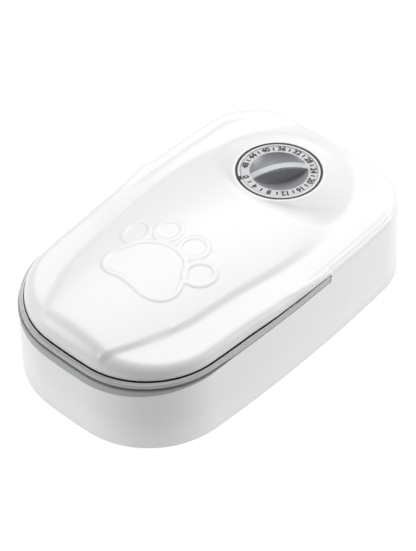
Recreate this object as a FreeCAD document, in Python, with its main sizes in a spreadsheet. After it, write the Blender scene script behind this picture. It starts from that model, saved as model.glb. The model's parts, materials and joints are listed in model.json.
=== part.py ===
import FreeCAD, Part
import math
import os
import Sketcher
from fcgear import fcgear, involute

# Single-meal pet feeder: a low tub with a chilled food bowl in front and a
# clamshell lid that carries the turning timer dial. Millimetres, +Z up, the
# rounded nose towards -Y, origin on the ground under the middle of the tub.

V = FreeCAD.Vector
doc = FreeCAD.newDocument("PetFeeder")
sheet = doc.addObject("Spreadsheet::Sheet", "Sizes")

driving_sizes = [
    # plan outline of the tub at the seam
    ("half_width", 74.0, "widest half width of the outline"),
    ("reach", 120.0, "nose and tail distance from the origin"),
    ("widest_y", 19.0, "where the outline is widest"),
    ("nose_radius", 400.0, "shallow arc across the nose"),
    ("nose_corner", 56.5, "big front corners"),
    ("flank_radius", 1010.0, "long side arcs"),
    ("tail_corner", 37.5, "rear corners"),
    ("tail_radius", 840.0, "shallow arc across the tail"),
    ("flush", 0.0, "no inset"),
    ("splay", -1.1, "the foot of the wall stands out by this much"),
    # tub
    ("foot_height", 1.5, "feet lift the tub"),
    ("wall", 2.4, "tub wall"),
    ("floor", 2.5, "tub floor"),
    ("seam", 54.2, "top of the white wall behind the strip"),
    ("strip_end", 30.0, "the grey strip stops here"),
    ("rim_side", 50.6, "wall top beside the food compartment"),
    ("rim_nose", 44.5, "wall top at the nose"),
    ("rim_bend", -40.0, "the wall top starts to dip here"),
    ("bulkhead_y", 30.6, "front face of the cross wall"),
    ("bulkhead_top", 48.0, "top of the cross wall"),
    # grey tray
    ("tray_proud", -0.3, "flange stands proud of the wall"),
    ("tray_fit", 2.7, "tray tub inset"),
    ("tray_inner", 4.5, "inside of the tray tub"),
    ("tray_base", 9.0, "underside of the tray"),
    ("tray_floor", 1.8, "tray floor thickness"),
    ("flange_top", 50.4, "top of the tray flange"),
    ("tray_back", 30.2, "rear face of the tray"),
    # seal, cold pack and bowl
    ("seal_outer", 1.0, "seal inset"),
    ("seal_inner", 4.9, "inside of the seal"),
    ("seal_top", 54.2, "top of the seal lip"),
    ("pack_inset", 7.0, "cold pack inset"),
    ("pack_height", 11.0, "cold pack thickness"),
    ("bowl_outer", 5.2, "bowl rim inset"),
    ("bowl_inner", 9.0, "inside of the bowl"),
    ("bowl_body", 7.2, "bowl body inset"),
    ("bowl_base", 22.5, "underside of the bowl"),
    ("bowl_rim", 50.2, "top of the bowl rim"),
    ("bowl_wall", 1.8, "bowl wall and floor"),
    # lid
    ("lid_edge", 54.9, "lower edge of the lid"),
    ("lid_nose", 3.8, "lid inset at the nose"),
    ("lid_flank", 1.0, "lid inset at the sides"),
    ("lid_tail", 3.0, "lid inset at the tail"),
    ("lid_wall", 2.2, "lid shell"),
    ("crown_top", 72.5, "highest point of the crown"),
    ("crown_y", -30.0, "where the crown is highest"),
    ("crown_long", 800.0, "lengthwise crown radius"),
    ("lid_round", 2.4, "rounding of the lid edge"),
    ("liner_inset", 6.6, "liner plate inset"),
    ("liner_base", 54.3, "underside of the liner"),
    ("liner_thick", 1.6, "liner plate"),
    # hinge
    ("hinge_y", 117.0, "hinge axis"),
    ("hinge_z", 53.4, "hinge axis height"),
    ("knuckle", 3.0, "knuckle radius"),
    ("pin", 1.25, "hinge pin radius"),
    ("running", 0.05, "radial clearance of a running fit"),
    ("hinge_half", 36.0, "half length of the hinge barrel"),
    # dial and timer
    ("dial_y", 68.0, "dial centre"),
    ("dial_z", 68.6, "dial face height"),
    ("dial_tilt", 3.0, "the dial leans to the tail"),
    ("bore", 26.8, "hole in the lid for the dial"),
    ("crater_rim", 28.2, "outer radius of the raised collar's lip"),
    ("crater_foot", 35.0, "radius of the collar's foot"),
    ("bezel", 26.0, "outer radius of the index ring"),
    ("knob", 23.7, "radius of the turning dial"),
    ("grip", 18.0, "radius of the finger scoops"),
    ("grip_bar", 4.5, "width of the finger bar"),
    ("grip_rise", 4.2, "the finger bar arches above the dial face"),
    ("case_outer", 29.0, "timer case radius"),
    ("case_wall", 1.6, "timer case wall"),
    ("case_depth", 21.0, "timer case below the dial face"),
    ("shaft", 2.0, "dial shaft radius"),
    # gears
    ("gear_module", 0.5, "all gears"),
    ("dial_teeth", 60.0, "wheel on the dial shaft"),
    ("idler_small", 12.0, "idler pinion"),
    ("idler_large", 32.0, "idler wheel"),
    ("rotor_teeth", 12.0, "motor pinion"),
    # latch
    ("cam_rise", 1.5, "how far the snail cam falls in one turn"),
    ("cam_radius", 9.0, "largest radius of the snail cam"),
]

for row, (alias, amount, note) in enumerate(driving_sizes, start=1):
    sheet.set(f"A{row}", alias)
    sheet.set(f"B{row}", str(amount))
    sheet.setAlias(f"B{row}", alias)
    sheet.set(f"C{row}", note)
doc.recompute()


def val(alias):
    return float(sheet.get(alias))


def bind(thing, **formulas):
    for prop, formula in formulas.items():
        thing.setExpression(prop.replace("__", "."), formula)
    return thing


def origin_plane(body, role):
    return next(f for f in body.Origin.OriginFeatures if f.Role == role)


def new_body(label):
    body = doc.addObject("PartDesign::Body", label)
    body.Label = label
    return body


def new_sketch(body, name, role="XY_Plane", lift="0"):
    sketch = body.newObject("Sketcher::SketchObject", name)
    sketch.AttachmentSupport = [(origin_plane(body, role), "")]
    sketch.MapMode = "FlatFace"
    sketch.setExpression("AttachmentOffset.Base.z", lift)
    return sketch


# ---------------------------------------------------------------- outline
def circle_meeting(c1, r1, c2, r2):
    """Right-hand centre of the corner that touches both arcs from inside."""
    gap = c2 - c1
    span = gap.Length
    along = (r1 * r1 - r2 * r2 + span * span) / (2 * span)
    side = math.sqrt(r1 * r1 - along * along)
    unit = gap / span
    normal = V(-unit.y, unit.x, 0)
    picks = [c1 + unit * along + normal * side, c1 + unit * along - normal * side]
    return max(picks, key=lambda p: p.x)


def outline_arcs(nose, flank, tail):
    """The eight tangent arcs of the plan outline, anticlockwise from the nose."""
    nose_c = V(0, val("nose_radius") - val("reach"), 0)
    flank_c = V(val("half_width") - val("flank_radius"), val("widest_y"), 0)
    tail_c = V(0, val("reach") - val("tail_radius"), 0)
    nose_r = val("nose_radius") - nose
    flank_r = val("flank_radius") - flank
    tail_r = val("tail_radius") - tail
    front_r = val("nose_corner") - (nose + flank) / 2
    rear_r = val("tail_corner") - (tail + flank) / 2
    front_c = circle_meeting(nose_c, nose_r - front_r, flank_c, flank_r - front_r)
    rear_c = circle_meeting(flank_c, flank_r - rear_r, tail_c, tail_r - rear_r)

    def heading(a, b):
        return math.atan2(b.y - a.y, b.x - a.x)

    turns = [heading(nose_c, front_c), heading(flank_c, front_c)]
    turns += [heading(flank_c, rear_c), heading(tail_c, rear_c)]
    turns += [math.pi - t for t in reversed(turns)]
    right = [(front_c, front_r), (flank_c, flank_r), (rear_c, rear_r)]
    left = [(V(-c.x, c.y, 0), r) for c, r in reversed(right)]
    circles = right + [(tail_c, tail_r)] + left
    arcs = [(nose_c, nose_r, turns[-1] - 2 * math.pi, turns[0])]
    for (centre, radius), start, end in zip(circles, turns, turns[1:]):
        arcs.append((centre, radius, start, end))
    return arcs


def outline_sketch(body, name, lift, nose, flank=None, tail=None):
    """A fully constrained plan outline, inset by the named cells."""
    flank = flank or nose
    tail = tail or nose
    sketch = new_sketch(body, name, lift=lift)
    up = V(0, 0, 1)
    arcs = outline_arcs(val(nose), val(flank), val(tail))
    for centre, radius, start, end in arcs:
        sketch.addGeometry(Part.ArcOfCircle(Part.Circle(centre, up, radius), start, end))
    for i in range(8):
        sketch.addConstraint(Sketcher.Constraint("Tangent", i, 2, (i + 1) % 8, 1))
    mean = f"(Sizes.{nose} + Sizes.{flank}) / 2"
    rear_mean = f"(Sizes.{tail} + Sizes.{flank}) / 2"
    radii = {
        0: f"Sizes.nose_radius - Sizes.{nose}",
        1: f"Sizes.nose_corner - {mean}",
        2: f"Sizes.flank_radius - Sizes.{flank}",
        3: f"Sizes.tail_corner - {rear_mean}",
        4: f"Sizes.tail_radius - Sizes.{tail}",
    }
    for index, formula in radii.items():
        mark = sketch.addConstraint(Sketcher.Constraint("Radius", index, arcs[index][1]))
        sketch.setExpression(f"Constraints[{mark}]", formula)
    for left, right in ((5, 3), (6, 2), (7, 1)):
        sketch.addConstraint(Sketcher.Constraint("Equal", left, right))
    for index, formula in ((0, "Sizes.nose_radius - Sizes.reach"), (4, "Sizes.reach - Sizes.tail_radius")):
        sketch.addConstraint(Sketcher.Constraint("PointOnObject", index, 3, -2))
        y = arcs[index][0].y
        mark = sketch.addConstraint(Sketcher.Constraint("DistanceY", -1, 1, index, 3, y))
        sketch.setExpression(f"Constraints[{mark}]", formula)
    for index, way in ((2, 1), (6, -1)):
        centre = arcs[index][0]
        mark = sketch.addConstraint(Sketcher.Constraint("DistanceY", -1, 1, index, 3, centre.y))
        sketch.setExpression(f"Constraints[{mark}]", "Sizes.widest_y")
        mark = sketch.addConstraint(Sketcher.Constraint("DistanceX", -1, 1, index, 3, centre.x))
        sketch.setExpression(f"Constraints[{mark}]", f"{way} * (Sizes.half_width - Sizes.flank_radius)")
    return sketch


def pad(body, sketch, length, reverse=False):
    feature = body.newObject("PartDesign::Pad", sketch.Name + "Pad")
    feature.Profile = sketch
    feature.Reversed = reverse
    feature.setExpression("Length", str(length))
    return feature


def slab(label, lift, length, nose, flank=None, tail=None):
    """A straight-sided plate of the plan outline."""
    body = new_body(label)
    pad(body, outline_sketch(body, label + "Outline", lift, nose, flank, tail), length)
    return body


# ---------------------------------------------------------------- Part helpers
def box(label, x, y, z, length, width, height):
    """A box from its low corner; each size is a number or a formula."""
    thing = doc.addObject("Part::Box", label)
    for prop, amount in (("Length", length), ("Width", width), ("Height", height)):
        thing.setExpression(prop, str(amount))
    for axis, amount in (("x", x), ("y", y), ("z", z)):
        thing.setExpression(f"Placement.Base.{axis}", str(amount))
    return thing


def rod(label, radius, height, x=0, y=0, z=0, turn=None):
    """A cylinder standing on its base centre, or turned about that point."""
    thing = doc.addObject("Part::Cylinder", label)
    thing.setExpression("Radius", str(radius))
    thing.setExpression("Height", str(height))
    if turn:
        thing.Placement = FreeCAD.Placement(V(), turn)
    for axis, amount in (("x", x), ("y", y), ("z", z)):
        thing.setExpression(f"Placement.Base.{axis}", str(amount))
    return thing


def cone(label, low, high, height, z=0):
    thing = doc.addObject("Part::Cone", label)
    bind(thing, Radius1=str(low), Radius2=str(high), Height=str(height), Placement__Base__z=str(z))
    return thing


def cut(label, base, tool):
    thing = doc.addObject("Part::Cut", label)
    thing.Base = base
    thing.Tool = tool
    return thing


def fuse(label, *shapes):
    thing = doc.addObject("Part::MultiFuse", label)
    thing.Shapes = list(shapes)
    thing.Refine = True
    return thing


def common(label, *shapes):
    thing = doc.addObject("Part::MultiCommon", label)
    thing.Shapes = list(shapes)
    return thing


def group(label, *shapes):
    """Identical loose pieces that share one node."""
    thing = doc.addObject("Part::Compound", label)
    thing.Links = list(shapes)
    return thing


along_x = FreeCAD.Rotation(V(0, 1, 0), 90)
along_y = FreeCAD.Rotation(V(1, 0, 0), -90)
dial_frame = FreeCAD.Placement(
    V(0, val("dial_y"), val("dial_z")), FreeCAD.Rotation(V(1, 0, 0), -val("dial_tilt"))
)


def swing(thing, pose):
    """Moves a finished piece by a placement, once its own place is worked out."""
    doc.recompute()
    for path, formula in thing.ExpressionEngine:
        if "Placement" in path:
            thing.setExpression(path.lstrip("."), None)
    thing.Placement = pose.multiply(thing.Placement)
    return thing


def on_dial(thing):
    """Moves a piece made about the Z axis to the leaning dial axis."""
    return swing(thing, dial_frame)


def screw(label, x, y, z, shank=8.0, head=2.6, core=1.3, up=1):
    """A pan-head screw; up=1 has its head on top, -1 underneath."""
    top = rod(label + "Head", head, 1.6, x, y, z if up > 0 else z - 1.6)
    slot = box(label + "Slot", x - 1.6, y - 0.35, (z + 0.9) if up > 0 else z - 1.7, 3.2, 0.7, 0.8)
    stem = rod(label + "Stem", core, shank + 0.2, x, y, z - shank if up > 0 else z - 0.2)
    return cut(label, fuse(label + "Blank", top, stem), slot)


kept = []


def keep(thing, label):
    thing.Label = label
    kept.append(thing)
    return thing


# where each hinge barrel segment starts, along the pin
knuckle_length = 9.0
tub_knuckles = (-36.0, -4.5, 27.0)
lid_knuckles = (-26.6, 17.6)


# ---------------------------------------------------------------- tub
def base_shell():
    tub = new_body("tub")
    foot = outline_sketch(tub, "TubFoot", "Sizes.foot_height", "splay")
    top = outline_sketch(tub, "TubTop", "Sizes.seam", "flush")
    loft = tub.newObject("PartDesign::AdditiveLoft", "TubLoft")
    loft.Profile = foot
    loft.Sections = [top]
    loft.Ruled = True
    hollow = outline_sketch(tub, "TubHollow", "Sizes.seam", "wall")
    pocket = tub.newObject("PartDesign::Pocket", "TubPocket")
    pocket.Profile = hollow
    pocket.setExpression("Length", "Sizes.seam - Sizes.foot_height - Sizes.floor")
    tub.Tip = pocket

    # the wall top steps down beside the food and dips towards the nose
    rim = above_rim("RimCutter")

    bulkhead = box("Bulkhead", "-Sizes.half_width + 1.2", "Sizes.bulkhead_y", "Sizes.foot_height",
                   "2 * (Sizes.half_width - 1.2)", 2.0, "Sizes.bulkhead_top - Sizes.foot_height")
    bosses = []
    for i, (x, y) in enumerate(tray_screw_places()):
        bosses.append(rod(f"TrayBoss{i}", 3.4, "Sizes.tray_base - Sizes.foot_height", x, y, "Sizes.foot_height"))
    shell = cut("RimmedTub", tub, rim)
    notch = box("HingeNotch", "-Sizes.hinge_half - 0.6", "Sizes.hinge_y - Sizes.knuckle - 1.5", 49.6,
                "2 * (Sizes.hinge_half + 0.6)", 12, 12)
    shell = cut("NotchedTub", shell, notch)
    knuckles = [hinge_knuckle(f"TubKnuckle{i}", x, -1) for i, x in enumerate(tub_knuckles)]
    whole = fuse("TubWhole", shell, bulkhead, *bosses, *knuckles)
    holes = [rod(f"TrayPilot{i}", 1.3, 7, x, y, "Sizes.tray_base - 7") for i, (x, y) in enumerate(tray_screw_places())]
    holes.append(rod("TubPinBore", "Sizes.pin", 100, -50, "Sizes.hinge_y", "Sizes.hinge_z", along_x))
    holes += [rod(f"KeeperPilot{i}", 1.0, 6, x, "Sizes.bulkhead_y - 1", 42, along_y) for i, x in enumerate((-9, 3))]
    keep(cut("base_shell", whole, fuse("TubHoles", *holes)), "base_shell")


def above_rim(label):
    """Everything above the wall top ahead of the strip's end."""
    region = new_body(label)
    profile = new_sketch(region, label + "Profile", "YZ_Plane", "-90")
    for piece in rim_profile(val("seam") + 10):
        profile.addGeometry(piece)
    for i in range(5):
        profile.addConstraint(Sketcher.Constraint("Coincident", i, 2, (i + 1) % 5, 1))
    profile.addConstraint(Sketcher.Constraint("Block", 3))
    pad(region, profile, "180")
    return region


def rim_profile(top):
    """Side view of what lies above the rim: y runs across, z runs up."""
    end = val("strip_end")
    bend = val("rim_bend")
    side = val("rim_side")
    fall = side - val("rim_nose")
    run = val("reach") + bend
    radius = (run * run + fall * fall) / (2 * fall)
    mid_y = bend - run / 2
    mid_z = side - radius + math.sqrt(radius * radius - run * run / 4)
    nose = -val("reach")
    front = nose - 10
    front_z = side - radius + math.sqrt(radius * radius - (bend - front) ** 2)
    edge = [V(end, top, 0), V(end, side, 0), V(bend, side, 0), V(front, front_z, 0), V(front, top, 0)]
    return [
        Part.LineSegment(edge[0], edge[1]),
        Part.LineSegment(edge[1], edge[2]),
        Part.Arc(edge[2], V(mid_y, mid_z, 0), edge[3]),
        Part.LineSegment(edge[3], edge[4]),
        Part.LineSegment(edge[4], edge[0]),
    ]


def tray_screw_places():
    return [(-48, -72), (48, -72), (-58, 18), (58, 18)]


def hinge_knuckle(label, x, way):
    """A barrel segment with a web down to the tub (-1) or up to the lid (1)."""
    barrel = rod(label + "Barrel", "Sizes.knuckle", knuckle_length, x, "Sizes.hinge_y", "Sizes.hinge_z", along_x)
    low = "Sizes.hinge_z - 5.5" if way < 0 else "Sizes.hinge_z"
    back = "Sizes.hinge_y - Sizes.knuckle"
    web = box(label + "Web", x, back, low, knuckle_length, "Sizes.knuckle + 1", 5.5 if way < 0 else 4.4)
    return fuse(label, barrel, web)


# ---------------------------------------------------------------- food compartment
def front_block(label):
    """Everything ahead of the tray's rear face."""
    return box(label, -90, -140, 0, 180, "140 + Sizes.tray_back", 90)


def food_tray():
    flange = slab("TrayFlange", "Sizes.rim_nose - 6", "Sizes.flange_top - Sizes.rim_nose + 6", "tray_proud")
    ledge = common("TrayLedge", flange, above_rim("TrayAboveRim"))
    tub = slab("TrayTub", "Sizes.tray_base", "Sizes.flange_top - Sizes.tray_base", "tray_fit")
    tub = common("TrayTubFront", tub, front_block("TrayFront"))
    hollow = slab("TrayHollow", "Sizes.tray_base + Sizes.tray_floor", 60, "tray_inner")
    room = box("TrayRoom", -90, -140, 0, 180, "140 + Sizes.tray_back - 1.8", 120)
    hollow = common("TrayHollowFront", hollow, room)
    holes = [rod(f"TrayHole{i}", 1.5, 6, x, y, "Sizes.tray_base - 2") for i, (x, y) in enumerate(tray_screw_places())]
    keep(cut("food_tray", fuse("TrayBlank", ledge, tub), fuse("TrayVoid", hollow, *holes)), "food_tray")
    screws = [
        screw(f"TrayScrew{i}", x, y, val("tray_base") + val("tray_floor"), 6.5)
        for i, (x, y) in enumerate(tray_screw_places())
    ]
    keep(group("tray_screws", *screws), "tray_screws")


def rim_seal():
    outer = slab("SealOuter", "Sizes.rim_side", "Sizes.seal_top - Sizes.rim_side", "seal_outer")
    inner = slab("SealInner", "Sizes.rim_side - 1", 8, "seal_inner")
    inner = common("SealWindow", inner, box("SealAhead", -90, -140, 0, 180, "140 + Sizes.strip_end - 5", 90))
    ring = cut("SealRing", outer, inner)
    keep(common("rim_seal", ring, box("SealFront", -90, -140, 0, 180, "140 + Sizes.strip_end", 90)), "rim_seal")


def cold_pack():
    pillow = slab("PackOutline", "Sizes.tray_base + Sizes.tray_floor + 1.7", "Sizes.pack_height - 1.7", "pack_inset")
    ahead = box("PackAhead", -90, -140, 0, 180, "140 + Sizes.tray_back - 5", 90)
    keep(common("ice_pack", pillow, ahead), "ice_pack")


def food_bowl():
    rim = slab("BowlRim", "Sizes.bowl_rim - Sizes.bowl_wall", "Sizes.bowl_wall", "bowl_outer")
    wall = slab("BowlBody", "Sizes.bowl_base", "Sizes.bowl_rim - Sizes.bowl_base", "bowl_body")
    rear = box("BowlAhead", -90, -140, 0, 180, "140 + Sizes.tray_back - 2.6", 90)
    outer = common("BowlOuter", fuse("BowlBlank", rim, wall), rear)
    hollow = slab("BowlHollow", "Sizes.bowl_base + Sizes.bowl_wall", 60, "bowl_inner")
    room = box("BowlRoom", -90, -140, 0, 180, "140 + Sizes.tray_back - 4.4", 120)
    keep(cut("food_bowl", outer, common("BowlInside", hollow, room)), "food_bowl")


def rubber_feet():
    feet = []
    for i, (x, y) in enumerate(((-52, -88), (52, -88), (-56, 98), (56, 98))):
        feet.append(cut(f"Foot{i}", rod(f"FootPad{i}", 6, "Sizes.foot_height", x, y),
                        rod(f"FootDimple{i}", 2, 0.6, x, y)))
    keep(group("rubber_feet", *feet), "rubber_feet")


# ---------------------------------------------------------------- hinge and keeper
def hinge_parts():
    hinge_pin = rod("hinge_pin", "Sizes.pin", "2 * Sizes.hinge_half + 1",
                    "-Sizes.hinge_half - 0.5", "Sizes.hinge_y", "Sizes.hinge_z", along_x)
    keep(hinge_pin, "hinge_pin")
    coils = []
    for side in (-1, 1):
        coils.append(torsion_spring(f"LidSpring{side + 1}", side))
    keep(group("lid_springs", *coils), "lid_springs")


def coil(wire, mean, pitch, turns):
    """A wound wire about the Z axis, starting on the X axis."""
    helix = Part.makeHelix(pitch, pitch * turns, mean)
    section = Part.Wire([Part.makeCircle(wire, V(mean, 0, 0), V(0, 1, 0))])
    return Part.Wire(helix.Edges).makePipeShell([section], True, True)


def torsion_spring(label, side):
    """A coil round the hinge pin with one leg in the tub and one under the lid."""
    wire = 0.45
    mean = 2.2
    pitch = 1.05
    turns = 8.5
    leg = 7.0
    start = 6.0
    low = Part.makeCylinder(wire, leg, V(mean, 0, 0), V(0, -1, 0))
    high = Part.makeCylinder(wire, leg, V(-mean, 0, pitch * turns), V(0, -1, 0))
    spring = doc.addObject("Part::Feature", label)
    spring.Shape = coil(wire, mean, pitch, turns).fuse([low, high])
    turn = FreeCAD.Rotation(V(0, 0, -1), V(0, 1, 0), V(1, 0, 0), "XYZ")
    x = start if side > 0 else -start - pitch * turns
    spring.Placement = FreeCAD.Placement(V(x, val("hinge_y"), val("hinge_z")), turn)
    return spring


def latch_keeper():
    plate = box("KeeperPlate", -12, "Sizes.bulkhead_y + 2", 38, 18, 1.2, 10.6)
    ledge = box("KeeperLedge", -12, "Sizes.bulkhead_y + 2", 47.4, 12.5, 6.2, 1.2)
    blank = fuse("KeeperBlank", plate, ledge)
    holes = [rod(f"KeeperHole{i}", 1.2, 6, x, "Sizes.bulkhead_y", 42, along_y) for i, x in enumerate((-9, 3))]
    keep(cut("latch_keeper", blank, fuse("KeeperHoles", *holes)), "latch_keeper")
    heads = []
    for i, x in enumerate((-9, 3)):
        head = rod(f"KeeperHead{i}", 2.2, 1.3, x, "Sizes.bulkhead_y + 3.2", 42, along_y)
        stem = rod(f"KeeperStem{i}", 1.0, 3.6, x, "Sizes.bulkhead_y", 42, along_y)
        heads.append(fuse(f"KeeperScrew{i}", head, stem))
    keep(group("keeper_screws", *heads), "keeper_screws")


# ---------------------------------------------------------------- lid
def crown(label, drop, width):
    """The lid's top: arched across, arched along, and flatter at the tail."""
    wires = []
    half = width
    for y, sag in ((-125, 12.0), (-60, 13.0), (0, 13.0), (60, 9.5), (125, 3.5)):
        middle = val("crown_top") - (y - val("crown_y")) ** 2 / (2 * val("crown_long")) - drop
        corners = [V(-half, y, 40), V(-half, y, middle - sag), V(half, y, middle - sag), V(half, y, 40)]
        top = Part.Arc(corners[1], V(0, y, middle), corners[2]).toShape()
        sides = [Part.makeLine(corners[0], corners[1]), top, Part.makeLine(corners[2], corners[3])]
        wires.append(Part.Wire(sides + [Part.makeLine(corners[3], corners[0])]))
    thing = doc.addObject("Part::Feature", label)
    thing.Shape = Part.makeLoft(wires, True, False)
    return thing


def rounded_lid(block):
    """Rounds the edge where the crown meets the side wall, most at the nose."""
    doc.recompute()
    rounding = doc.addObject("Part::Fillet", "LidRounded")
    rounding.Base = block
    edges = []
    for number, edge in enumerate(block.Shape.Edges, start=1):
        box_ = edge.BoundBox
        if box_.ZMin < val("lid_edge") + 0.5:
            continue
        edges.append((number, val("lid_round"), val("lid_round")))
    rounding.Edges = edges
    return rounding


def lid_shell():
    block = slab("LidBlock", "Sizes.lid_edge", 30, "lid_nose", "lid_flank", "lid_tail")
    outer = rounded_lid(common("LidOuter", block, crown("LidCrown", 0, 78)))
    hollow = new_body("LidHollow")
    pad(hollow, outline_sketch(hollow, "LidHollowOutline", "Sizes.lid_edge - 2", "liner_inset",
                               "tray_fit", "liner_inset"), "30")
    inner = common("LidInner", hollow, crown("LidUnderCrown", val("lid_wall"), 78))
    shell = cut("LidSkin", outer, inner)

    collar = on_dial(cone("DialCollar", "Sizes.crater_foot", "Sizes.crater_rim", 9.5, -8.6))
    bosses = []
    for i, (x, y) in enumerate(case_screw_places()):
        bosses.append(on_dial(rod(f"CaseBoss{i}", 3.0, 5.1, x, y, -11.6)))
    for i, (y, top) in enumerate(battery_screw_places()):
        bosses.append(rod(f"BatteryBoss{i}", 2.6, top - 53.4, 48, y, 53.4))
    solid = fuse("LidSolid", shell, collar, *bosses)
    bore = on_dial(rod("DialBore", "Sizes.bore", 40, 0, 0, -20))
    seat = on_dial(rod("CaseSeat", "Sizes.case_outer + 0.3", 30, 0, 0, -33))
    notch = box("LidHingeNotch", "-Sizes.hinge_half - 0.6", "Sizes.hinge_y - Sizes.knuckle - 1.5", 50,
                "2 * (Sizes.hinge_half + 0.6)", 12, 7.0)
    opened = cut("LidOpened", solid, fuse("LidCuts", bore, seat, notch))
    knuckles = [hinge_knuckle(f"LidKnuckle{i}", x, 1) for i, x in enumerate(lid_knuckles)]
    whole = fuse("LidWhole", opened, *knuckles)
    holes = [on_dial(rod(f"CasePilot{i}", 1.2, 5.5, x, y, -12)) for i, (x, y) in enumerate(case_screw_places())]
    holes += [rod(f"BatteryPilot{i}", 1.1, 5, 48, y, 53) for i, (y, top) in enumerate(battery_screw_places())]
    holes.append(rod("LidPinBore", "Sizes.pin + Sizes.running", 100, -50, "Sizes.hinge_y", "Sizes.hinge_z", along_x))
    keep(cut("lid_shell", whole, fuse("LidHoles", *holes)), "lid_shell")


def case_screw_places():
    radius = 32.5
    return [(radius * math.cos(math.radians(a)), radius * math.sin(math.radians(a))) for a in (30, 150, 270)]


def battery_screw_places():
    return [(41, 64.0), (101, 58.5)]


def lid_liner():
    plate = slab("LinerPlate", "Sizes.liner_base", "Sizes.liner_thick", "liner_inset", "liner_inset", "liner_inset")
    ahead = box("LinerAhead", -90, -140, 0, 180, "140 + Sizes.strip_end - 1.5", 90)
    keep(common("lid_liner", plate, ahead), "lid_liner")


# ---------------------------------------------------------------- timer fixed parts
def timer_case():
    wall = rod("CaseWall", "Sizes.case_outer", "Sizes.case_depth - 3", 0, 0, "-Sizes.case_depth")
    ears = []
    for i, (x, y) in enumerate(case_screw_places()):
        ears.append(rod(f"CaseEar{i}", 4.0, 1.6, x, y, -13.2))
    hollow = rod("CaseHollow", "Sizes.case_outer - Sizes.case_wall", 40, 0, 0, "-Sizes.case_depth + Sizes.case_wall")
    bore = rod("CaseBore", "Sizes.shaft + Sizes.running", 6, 0, 0, "-Sizes.case_depth - 2")
    holes = [rod(f"CaseEarHole{i}", 1.4, 4, x, y, -14) for i, (x, y) in enumerate(case_screw_places())]
    body = fuse("CaseBlank", wall, *ears)
    keep(on_dial(cut("timer_case", body, fuse("CaseVoid", hollow, bore, *holes))), "timer_case")
    screws = []
    for i, (x, y) in enumerate(case_screw_places()):
        screws.append(on_dial(screw(f"CaseScrew{i}", x, y, -13.2, 6.0, 2.4, 1.2, -1)))
    doc.recompute()
    keep(group("case_screws", *screws), "case_screws")


def bezel_ring():
    ring = rod("BezelOuter", "Sizes.bezel", 5.2, 0, 0, -4.9)
    skirt = rod("BezelSkirt", "Sizes.case_outer - Sizes.case_wall - 0.2", 1.8, 0, 0, -4.9)
    hole = rod("BezelHole", "Sizes.knob + 0.25", 12, 0, 0, -6)
    keep(on_dial(cut("index_ring", fuse("BezelBlank", ring, skirt), hole)), "index_ring")


# ---------------------------------------------------------------- dial and gears
# the index and the finger bar point this way, in degrees from +X in the dial's plane
zero_heading = 239.0


def grip_arch():
    """The part of the finger bar that arches above the dial's face."""
    rise = val("grip_rise")
    reach = val("grip")
    radius = (reach * reach + rise * rise) / (2 * rise)
    blank = box("BarBlank", -reach, "-Sizes.grip_bar / 2", -2, 2 * reach, "Sizes.grip_bar", rise + 3)
    drum = rod("BarDrum", radius, "Sizes.grip_bar", 0, "-Sizes.grip_bar / 2", rise - radius, along_y)
    return common("BarArch", blank, drum)


def timer_knob():
    disc = rod("KnobDisc", "Sizes.knob", 2.4, 0, 0, -2.4)
    drum = rod("KnobDrum", "Sizes.grip + 1.6", 8.0, 0, 0, -9.6)
    blank = fuse("KnobBlank", disc, drum)
    scoops = []
    for i, way in enumerate((-1, 1)):
        ball = doc.addObject("Part::Sphere", f"Scoop{i}")
        ball.Radius = 22
        ball.Placement.Base = V(0, way * 21, 13.5)
        scoops.append(ball)
    reach = rod("ScoopReach", "Sizes.grip", 30, 0, 0, -8)
    bar = box("GripBar", -30, "-Sizes.grip_bar / 2", -9, 60, "Sizes.grip_bar", 20)
    scoop = cut("ScoopSides", common("ScoopPair", fuse("ScoopBalls", *scoops), reach), bar)
    bore = rod("KnobBore", "Sizes.shaft", 6, 0, 0, -10)
    knob = cut("timer_knob", fuse("KnobBarred", blank, grip_arch()), fuse("KnobVoid", scoop, bore))
    knob.Placement = FreeCAD.Placement(V(), FreeCAD.Rotation(V(0, 0, 1), zero_heading - 180))
    keep(on_dial(knob), "timer_knob")
    shaft = rod("dial_shaft", "Sizes.shaft", 22.3, 0, 0, -26.3)
    keep(on_dial(shaft), "dial_shaft")


def gear(label, teeth, height, z, turn=0.0, place=(0, 0)):
    builder = fcgear.FCWireBuilder()
    involute.CreateExternalGear(builder, val("gear_module"), int(val(teeth)), 20, True)
    wire = Part.Wire([edge.toShape() for edge in builder.wire])
    thing = doc.addObject("Part::Feature", label)
    thing.Shape = Part.Face(wire).extrude(V(0, 0, height))
    thing.Placement = FreeCAD.Placement(V(place[0], place[1], z), FreeCAD.Rotation(V(0, 0, 1), turn))
    return thing


def pitch_radius(teeth):
    return val("gear_module") * val(teeth) / 2


backlash = 0.14
idler_place = (0, pitch_radius("dial_teeth") + pitch_radius("idler_small") + backlash)
rotor_heading = 19 * 360 / val("idler_large")
rotor_lead = math.radians(rotor_heading)
rotor_span = pitch_radius("idler_large") + pitch_radius("rotor_teeth") + backlash
rotor_place = (
    idler_place[0] + rotor_span * math.cos(rotor_lead),
    idler_place[1] + rotor_span * math.sin(rotor_lead),
)


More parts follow.
